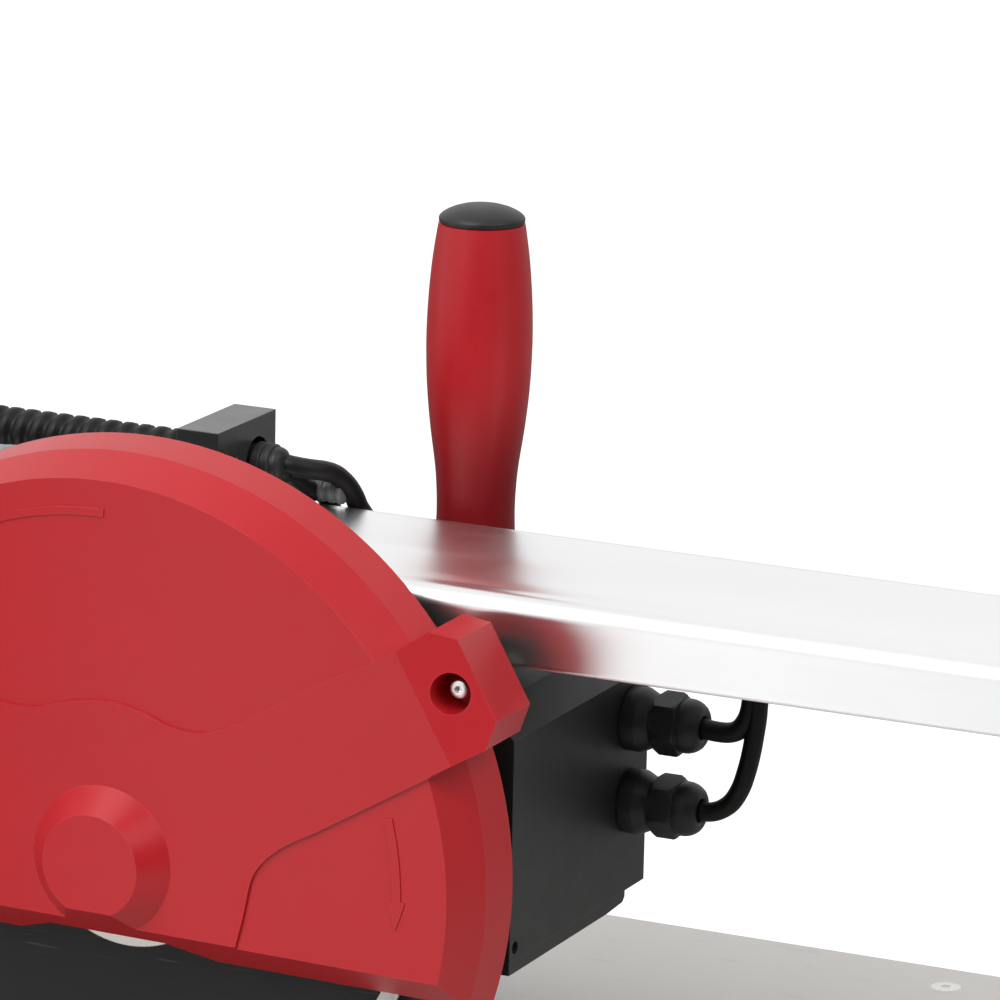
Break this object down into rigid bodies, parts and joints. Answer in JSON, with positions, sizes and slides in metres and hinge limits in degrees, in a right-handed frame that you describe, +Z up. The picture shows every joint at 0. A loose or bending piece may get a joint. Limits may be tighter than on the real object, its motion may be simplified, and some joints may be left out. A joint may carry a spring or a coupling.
{
  "type": "wet tile saw",
  "caption": "Bridge-type wet tile saw: guarded diamond blade and motor roll along a tilting aluminium rail over a slotted table with a water tray and folding legs.",
  "frame": {"origin": "on the floor, below the middle of the cutting table, midway along the guide rail", "axes": "+X along the guide rail, +Y from the blade side to the handle side, +Z up"},
  "size_m": [1.504, 0.69, 1.2486],
  "materials": {
    "guard_red": "satin powder coat",
    "grip_red": "soft satin moulded",
    "black_plastic": "fine-textured moulded",
    "black_paint": "fine-textured powder coat",
    "black_rubber": "matt",
    "rail_aluminium": "brushed lengthwise",
    "cast_aluminium": "bead-blasted",
    "zinc_steel": "zinc plated",
    "bright_steel": "ground",
    "blade_core": "satin blackened steel with a sintered rim",
    "table_grey": "light grey textured coat",
    "frame_red": "powder coat",
    "tray_grey": "moulded",
    "brass": "turned",
    "button_green": "gloss",
    "button_red": "gloss",
    "winding_copper": "enamelled windings in a steel stack",
    "hose_clear": "translucent vinyl"
  },
  "bodies": {
    "base": {"base_frame": "frame_red", "water_tray": "tray_grey", "drain_plug": "black_rubber", "table_front": "table_grey", "table_rear": "table_grey", "pump": "black_plastic", "water_hose": "hose_clear", "pivot_bolts": "zinc_steel", "fence_bar": "rail_aluminium"},
    "left_leg": {"leg_frame_left": "black_paint", "leg_feet_left": "black_rubber"},
    "right_leg": {"leg_frame_right": "black_paint", "leg_feet_right": "black_rubber"},
    "wheel_front": {"wheel_front": "black_rubber"},
    "wheel_rear": {"wheel_rear": "black_rubber"},
    "leg_knob_left": {"leg_knob_left": "black_plastic"},
    "leg_knob_right": {"leg_knob_right": "black_plastic"},
    "side_stop": {"side_stop": "cast_aluminium"},
    "stop_knob": {"stop_knob": "black_plastic"},
    "angle_arm": {"angle_arm": "rail_aluminium"},
    "bridge": {"guide_rail": "rail_aluminium", "rail_end_left": "black_paint", "rail_end_right": "black_paint", "rail_buffers": "black_rubber"},
    "tilt_knob_left": {"tilt_knob_left": "black_plastic"},
    "tilt_knob_right": {"tilt_knob_right": "black_plastic"},
    "carriage": {"carriage_frame": "black_paint", "plunge_pin": "zinc_steel", "plunge_spring": "bright_steel", "hose_block": "black_plastic", "coil_conduit": "black_rubber", "motor_leads": "black_rubber"},
    "roller_top_left": {"roller_top_left": "bright_steel"},
    "roller_top_right": {"roller_top_right": "bright_steel"},
    "roller_bottom_left": {"roller_bottom_left": "bright_steel"},
    "roller_bottom_right": {"roller_bottom_right": "bright_steel"},
    "plunge_knob": {"plunge_knob": "black_plastic"},
    "head": {"guard_shell": "guard_red", "guard_back_plate": "black_paint", "guard_screws": "zinc_steel", "water_pipe": "brass", "motor_housing": "black_paint", "motor_stator": "winding_copper", "motor_bearings": "bright_steel", "motor_end_bell": "black_plastic", "switch_box": "black_plastic", "box_cover": "black_plastic", "start_capacitor": "cast_aluminium", "cable_glands": "black_plastic", "handle_bracket": "black_paint", "handle_grip": "grip_red", "handle_cap": "black_plastic"},
    "valve_lever": {"valve_lever": "zinc_steel"},
    "button_on": {"button_on": "button_green"},
    "button_off": {"button_off": "button_red"},
    "spindle": {"rotor_shaft": "bright_steel", "cooling_fan": "black_plastic", "blade": "blade_core", "blade_flanges": "zinc_steel", "arbor_nut": "zinc_steel"}
  },
  "joints": [
    {"name": "bridge_tilt", "type": "hinge", "parent": "base", "child": "bridge", "pos_m": [0, -0.05, 0.88], "axis": [1, 0, 0], "range_deg": [0, 45]},
    {"name": "head_slide", "type": "slide", "parent": "bridge", "child": "carriage", "axis": [1, 0, 0], "range_m": [-0.45, 0.4], "deforming": ["coil_conduit"]},
    {"name": "plunge", "type": "hinge", "parent": "carriage", "child": "head", "pos_m": [-0.175, 0.02, 1.035], "axis": [0, 1, 0], "range_deg": [0, 5.5], "deforming": ["motor_leads"]},
    {"name": "blade_spin", "type": "hinge", "parent": "head", "child": "spindle", "pos_m": [0, -0.05, 1.015], "axis": [0, 1, 0], "continuous": true},
    {"name": "valve_turn", "type": "hinge", "parent": "head", "child": "valve_lever", "pos_m": [-0.10774, -0.072, 1.1529], "axis": [0, 1, 0], "range_deg": [0, 90]},
    {"name": "press_on", "type": "slide", "parent": "head", "child": "button_on", "axis": [0, -1, 0], "range_m": [0, 0.003]},
    {"name": "press_off", "type": "slide", "parent": "head", "child": "button_off", "axis": [0, -1, 0], "range_m": [0, 0.003]},
    {"name": "plunge_knob_turn", "type": "hinge", "parent": "carriage", "child": "plunge_knob", "pos_m": [-0.138, 0.088, 1.025], "axis": [0, 1, 0], "range_deg": [0, 360]},
    {"name": "tilt_knob_left_turn", "type": "hinge", "parent": "bridge", "child": "tilt_knob_left", "pos_m": [-0.74, -0.05, 1.03], "axis": [1, 0, 0], "range_deg": [0, 360]},
    {"name": "tilt_knob_right_turn", "type": "hinge", "parent": "bridge", "child": "tilt_knob_right", "pos_m": [0.74, -0.05, 1.03], "axis": [1, 0, 0], "range_deg": [0, 360]},
    {"name": "left_leg_fold", "type": "hinge", "parent": "base", "child": "left_leg", "pos_m": [-0.56, 0, 0.78], "axis": [0, -1, 0], "range_deg": [0, 96]},
    {"name": "right_leg_fold", "type": "hinge", "parent": "base", "child": "right_leg", "pos_m": [0.56, 0, 0.728], "axis": [0, 1, 0], "range_deg": [0, 96]},
    {"name": "wheel_front_spin", "type": "hinge", "parent": "left_leg", "child": "wheel_front", "pos_m": [-0.655, -0.314, 0.062], "axis": [0, 1, 0], "continuous": true},
    {"name": "wheel_rear_spin", "type": "hinge", "parent": "left_leg", "child": "wheel_rear", "pos_m": [-0.655, 0.314, 0.062], "axis": [0, 1, 0], "continuous": true},
    {"name": "leg_knob_left_turn", "type": "hinge", "parent": "base", "child": "leg_knob_left", "pos_m": [-0.53, -0.31, 0.81], "axis": [0, 1, 0], "range_deg": [0, 360]},
    {"name": "leg_knob_right_turn", "type": "hinge", "parent": "base", "child": "leg_knob_right", "pos_m": [0.53, -0.31, 0.758], "axis": [0, 1, 0], "range_deg": [0, 360]},
    {"name": "stop_slide", "type": "slide", "parent": "base", "child": "side_stop", "axis": [0, 1, 0], "range_m": [-0.1, 0.03]},
    {"name": "stop_knob_turn", "type": "hinge", "parent": "side_stop", "child": "stop_knob", "pos_m": [0.643, -0.19, 0.92], "axis": [0, 0, 1], "range_deg": [0, 360]},
    {"name": "angle_arm_swing", "type": "hinge", "parent": "side_stop", "child": "angle_arm", "pos_m": [0.598, -0.19, 0.914], "axis": [0, 0, 1], "range_deg": [0, 45]},
    {"name": "roller_top_left_roll", "type": "hinge", "parent": "carriage", "child": "roller_top_left", "pos_m": [-0.128, 0.02, 1.13485], "axis": [0, 1, 0], "range_deg": [-2900, 2900]},
    {"name": "roller_top_right_roll", "type": "hinge", "parent": "carriage", "child": "roller_top_right", "pos_m": [-0.042, 0.02, 1.13485], "axis": [0, 1, 0], "range_deg": [-2900, 2900]},
    {"name": "roller_bottom_left_roll", "type": "hinge", "parent": "carriage", "child": "roller_bottom_left", "pos_m": [-0.128, 0.02, 1.08955], "axis": [0, 1, 0], "range_deg": [-2900, 2900]},
    {"name": "roller_bottom_right_roll", "type": "hinge", "parent": "carriage", "child": "roller_bottom_right", "pos_m": [-0.042, 0.02, 1.08955], "axis": [0, 1, 0], "range_deg": [-2900, 2900]}
  ],
  "couplings": [
    {"joint": "roller_top_left_roll", "follows": "head_slide", "rad_per_m": 110.5},
    {"joint": "roller_top_right_roll", "follows": "head_slide", "rad_per_m": 110.5},
    {"joint": "roller_bottom_left_roll", "follows": "head_slide", "rad_per_m": -110.5},
    {"joint": "roller_bottom_right_roll", "follows": "head_slide", "rad_per_m": -110.5}
  ]
}
